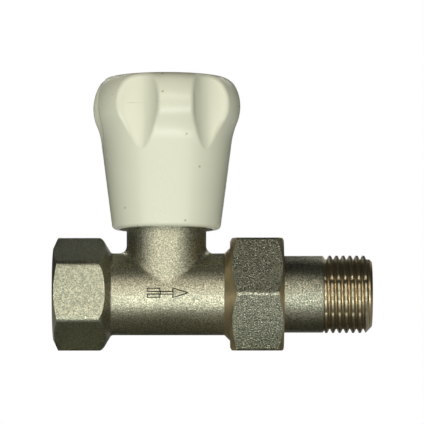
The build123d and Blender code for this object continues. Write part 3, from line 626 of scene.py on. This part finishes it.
def creamParting(tree, place, look):
    # the mould's parting line, which shows only here and there
    parts = addNode(tree, "ShaderNodeSeparateXYZ", {0: place}).outputs
    level = calc(tree, "MULTIPLY", parts["Z"], 1 / mm)
    away = calc(tree, "ABSOLUTE", calc(tree, "SUBTRACT", level, look["partingLevel"]))
    shown = ramp(tree, noise(tree, place, look["breakScale"], detail=1.0), look["breakSpan"])
    return calc(tree, "MULTIPLY", fall(tree, away, look["partingSpan"]), shown)


def makeCream(look):
    material, tree, shader = newMaterial("creamPlastic")
    place = objectPlace(tree)
    blotch = useGroup(tree, handling, {"Vector": place, "Scale": look["blotchScale"]})["Mask"]
    line = creamParting(tree, place, look)
    lineShade = calc(tree, "MULTIPLY", line, look["partingStrength"])
    colour = mixColour(tree, blotch, look["light"], look["dark"])
    colour = mixColour(tree, lineShade, colour, look["speck"])
    colour = mixColour(tree, creamSpecks(tree, place, look), colour, look["speck"])
    fine = noise(tree, place, look["fineScale"], detail=2.0)
    height = calc(tree, "SUBTRACT", calc(tree, "MULTIPLY", fine, look["fineDepth"]),
                  calc(tree, "MULTIPLY", line, look["partingDepth"]))
    feed(tree, shader, {
        "Base Color": colour, "Specular IOR Level": look["gloss"],
        "Roughness": ramp(tree, blotch, (0.0, 1.0), *look["rough"]),
        "Normal": addBump(tree, height),
    })
    return material


creamPlastic = makeCream(creamLook)


# the works inside: brass as cut, rubber, slippery plastic and steel

insideBlotchScale = 300.0
insideLooks = {
    "bareBrass": {
        "light": (0.83, 0.62, 0.30, 1), "dark": (0.62, 0.42, 0.17, 1), "rough": (0.22, 0.40),
        "metal": 1.0, "scale": 900.0, "depth": 0.02,
        "pieces": ["bonnet", "gland_nut", "spindle", "valve_disc", "disc_washer", "disc_screw"],
    },
    "sealRubber": {
        "light": (0.030, 0.030, 0.032, 1), "dark": (0.014, 0.014, 0.015, 1),
        "rough": (0.55, 0.75),
        "metal": 0.0, "scale": 1500.0, "depth": 0.02,
        "pieces": ["bonnet_o_ring", "gland_o_ring", "spindle_o_ring", "tailpiece_o_ring",
                   "disc_seal"],
    },
    "slipPlastic": {
        "light": (0.86, 0.86, 0.84, 1), "dark": (0.78, 0.78, 0.75, 1), "rough": (0.38, 0.5),
        "metal": 0.0, "scale": 700.0, "depth": 0.01,
        "pieces": ["gland_washer"],
    },
    "brushedSteel": {
        "light": (0.60, 0.60, 0.60, 1), "dark": (0.42, 0.42, 0.43, 1), "rough": (0.25, 0.42),
        "metal": 1.0, "scale": 1200.0, "depth": 0.015,
        "pieces": ["disc_clip", "handwheel_screw", "handwheel_washer"],
    },
}


def makeInside(name, look):
    material, tree, shader = newMaterial(name)
    place = objectPlace(tree)
    grain = useGroup(tree, blastedGrain, {"Vector": place, "Scale": look["scale"]})
    blotch = useGroup(tree, handling, {"Vector": place, "Scale": insideBlotchScale})["Mask"]
    feed(tree, shader, {
        "Base Color": mixColour(tree, blotch, look["light"], look["dark"]),
        "Metallic": look["metal"],
        "Roughness": ramp(tree, grain["Shade"], (0.0, 1.0), *look["rough"]),
        "Normal": addBump(tree, calc(tree, "MULTIPLY", grain["Height"], look["depth"])),
    })
    return material


def dress(piece, material):
    piece.data.materials.clear()
    piece.data.materials.append(material)


finishes = {
    "valve_body": platedForging, "union_nut": platedNut, "tailpiece": platedTail,
    "handwheel": creamPlastic, "handwheel_cap": creamPlastic,
}
for name, look in insideLooks.items():
    finishes.update(dict.fromkeys(look["pieces"], makeInside(name, look)))
newFinishes = [
    (threadedTail, platedTail), (socketThread, platedForging), (flowArrow, platedArrow),
]
for name, material in finishes.items():
    dress(nodes[name], material)
for piece, material in newFinishes:
    dress(piece, material)
print("materials set on", len(finishes) + len(newFinishes), "pieces")


# floor, backdrop, light and camera

stageLook = {
    "floorPlace": (0.04, 0.0, -0.0156), "floorSize": 3.0, "floor": (0.82, 0.82, 0.81, 1),
    "backdropPlace": (0.043, 0.5, 0.06), "backdropSize": 0.26, "backdrop": (0.9, 0.9, 0.9, 1),
    "cloudScale": 6.0, "cloudShade": 0.97, "rough": 0.9, "gloss": 0.1,
    "world": (0.85, 1.0, 0.88, 1), "worldStrength": 0.03,
    "lampTarget": (0.040, 0.0, 0.022),
}


def oneSided(name, colour, white):
    # seen only from its front, so that it never stands before the camera
    material, tree, shader = newMaterial(name)
    cloud = noise(tree, objectPlace(tree), stageLook["cloudScale"], detail=2.0)
    darker = tuple(stageLook["cloudShade"] * part for part in colour[:3]) + (1,)
    feed(tree, shader, {
        "Base Color": mixColour(tree, cloud, colour, darker),
        "Roughness": stageLook["rough"], "Specular IOR Level": stageLook["gloss"],
    })
    front = shader.outputs["BSDF"]
    if white:
        rays = addNode(tree, "ShaderNodeLightPath").outputs
        seen = largest(tree, rays["Is Camera Ray"], rays["Is Glossy Ray"],
                       rays["Is Transmission Ray"])
        glow = addNode(tree, "ShaderNodeEmission", {"Color": (1, 1, 1, 1), "Strength": 1.0})
        inputs = {0: seen, 1: front, 2: glow.outputs[0]}
        front = addNode(tree, "ShaderNodeMixShader", inputs).outputs[0]
    back = addNode(tree, "ShaderNodeNewGeometry").outputs["Backfacing"]
    clear = addNode(tree, "ShaderNodeBsdfTransparent").outputs[0]
    both = addNode(tree, "ShaderNodeMixShader", {0: back, 1: front, 2: clear}).outputs[0]
    feed(tree, tree.nodes["Material Output"], {"Surface": both})
    return material


def addPlane(name, matrix, size, material):
    bm = bmesh.new()
    bmesh.ops.create_grid(bm, x_segments=2, y_segments=2, size=size / 2, matrix=matrix)
    mesh = bpy.data.meshes.new(name)
    bm.to_mesh(mesh)
    bm.free()
    plane = bpy.data.objects.new(name, mesh)
    scene.collection.objects.link(plane)
    dress(plane, material)
    return plane


# the floor throws no shadow, so that the lower strip shines through it, and no diffuse light
floor = addPlane("floor", Matrix.Translation(stageLook["floorPlace"]), stageLook["floorSize"],
                 oneSided("floorPaint", stageLook["floor"], False))
floor.visible_shadow = False
floor.visible_diffuse = False
upright = Matrix.Translation(stageLook["backdropPlace"]) @ Matrix.Rotation(math.pi / 2, 4, "X")
addPlane("backdrop", upright, stageLook["backdropSize"],
         oneSided("backdropPaper", stageLook["backdrop"], True))

world = bpy.data.worlds.new("studio")
world.use_nodes = True
feed(world.node_tree, world.node_tree.nodes["Background"], {
    "Color": stageLook["world"], "Strength": stageLook["worldStrength"]})
scene.world = world

# the floor has a lamp of its own, and the others leave it out
lamps = {
    "frontPanel": {"place": (0.0, -1.15, -0.06), "size": (1.4, 1.0), "power": 0.75,
                   "colour": (1.0, 0.96, 0.87)},
    "upperStrip": {"place": (0.0, -1.05, 0.40), "size": (2.4, 0.26), "power": 7.2,
                   "colour": (1.0, 0.955, 0.85)},
    "lowerStrip": {"place": (0.0, -1.02, -0.37), "size": (2.4, 0.22), "power": 11.2,
                   "colour": (0.94, 1.0, 0.955)},
    "backLeft": {"place": (-0.45, 1.05, 0.85), "size": (0.6, 0.6), "power": 1.4,
                 "colour": (1.0, 1.0, 0.90)},
    "backRight": {"place": (0.55, 1.05, 0.85), "size": (0.6, 0.6), "power": 1.4,
                  "colour": (1.0, 1.0, 0.90)},
    "floorLamp": {"place": (0.04, 0.0, 1.30), "size": (0.3, 0.3), "power": 7.5,
                  "colour": (1.0, 1.0, 0.99)},
}
onlyFloor = bpy.data.collections.new("onlyFloor")
onlyFloor.objects.link(floor)
allButFloor = bpy.data.collections.new("allButFloor")
allButFloor.objects.link(floor)
allButFloor.collection_objects[0].light_linking.link_state = "EXCLUDE"


def aimFrom(item, place, direction):
    item.location = place
    item.rotation_euler = direction.to_track_quat("-Z", "Y").to_euler()
    scene.collection.objects.link(item)


def addLamp(name, lamp, receivers):
    light = bpy.data.lights.new(name, "AREA")
    light.shape = "RECTANGLE"
    light.size, light.size_y = lamp["size"]
    light.energy = lamp["power"]
    light.color = lamp["colour"]
    light.cycles.use_multiple_importance_sampling = False
    holder = bpy.data.objects.new(name, light)
    place = Vector(lamp["place"])
    aimFrom(holder, place, Vector(stageLook["lampTarget"]) - place)
    holder.light_linking.receiver_collection = receivers


for name, lamp in lamps.items():
    addLamp(name, lamp, onlyFloor if name == "floorLamp" else allButFloor)

cameraSetup = {
    "elevation": -4.3, "distance": 1.000, "aim": (0.04295, 0.0, 0.02236),
    "lens": 312.8, "sensor": 36.0, "clip": (0.01, 20.0),
}


def addCamera(setup):
    tilt = math.radians(setup["elevation"])
    back = Vector((0, -math.cos(tilt), math.sin(tilt)))
    data = bpy.data.cameras.new("photoCamera")
    data.lens = setup["lens"]
    data.sensor_width = setup["sensor"]
    data.clip_start, data.clip_end = setup["clip"]
    camera = bpy.data.objects.new("photoCamera", data)
    aimFrom(camera, Vector(setup["aim"]) + back * setup["distance"], -back)
    scene.camera = camera


addCamera(cameraSetup)
scene.view_settings.view_transform = "Standard"
print("stage set")
